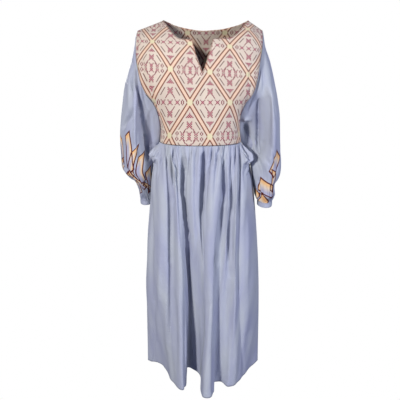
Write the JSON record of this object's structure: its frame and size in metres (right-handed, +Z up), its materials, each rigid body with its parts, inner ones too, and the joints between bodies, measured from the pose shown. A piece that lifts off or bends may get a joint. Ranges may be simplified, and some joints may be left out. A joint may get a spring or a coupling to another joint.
{
  "type": "maxi dress",
  "caption": "Long hollow dress as worn: scoop neck with a slit, batwing sleeves gathered at the cuffs, gathered ankle-length skirt, patterned bodice.",
  "frame": {"origin": "midway between the two shoulder seams' neck ends, at the top of the dress, where the wearer's shoulders hold it", "axes": "+Z up, the front of the dress faces -Y, +X towards the wearer's left"},
  "size_m": [0.555, 0.3659, 1.2859],
  "materials": {
    "bodice_front": "woven cotton, matt, pale ground with a burgundy, rust and cream lattice",
    "bodice_back": "woven cotton, matt, pale ground with a burgundy, rust and cream lattice",
    "sleeve_right": "plain woven cotton, light periwinkle blue, soft sheen",
    "sleeve_left": "plain woven cotton, light periwinkle blue, soft sheen",
    "cuff_right": "plain woven cotton, light periwinkle blue, soft sheen",
    "cuff_left": "plain woven cotton, light periwinkle blue, soft sheen",
    "skirt_front": "plain woven cotton, light periwinkle blue, soft sheen",
    "skirt_back": "plain woven cotton, light periwinkle blue, soft sheen"
  },
  "bodies": {
    "root": {"bodice_front": "bodice_front", "bodice_back": "bodice_back", "sleeve_right": "sleeve_right", "sleeve_left": "sleeve_left", "cuff_right": "cuff_right", "cuff_left": "cuff_left", "skirt_front": "skirt_front", "skirt_back": "skirt_back"}
  },
  "joints": []
}
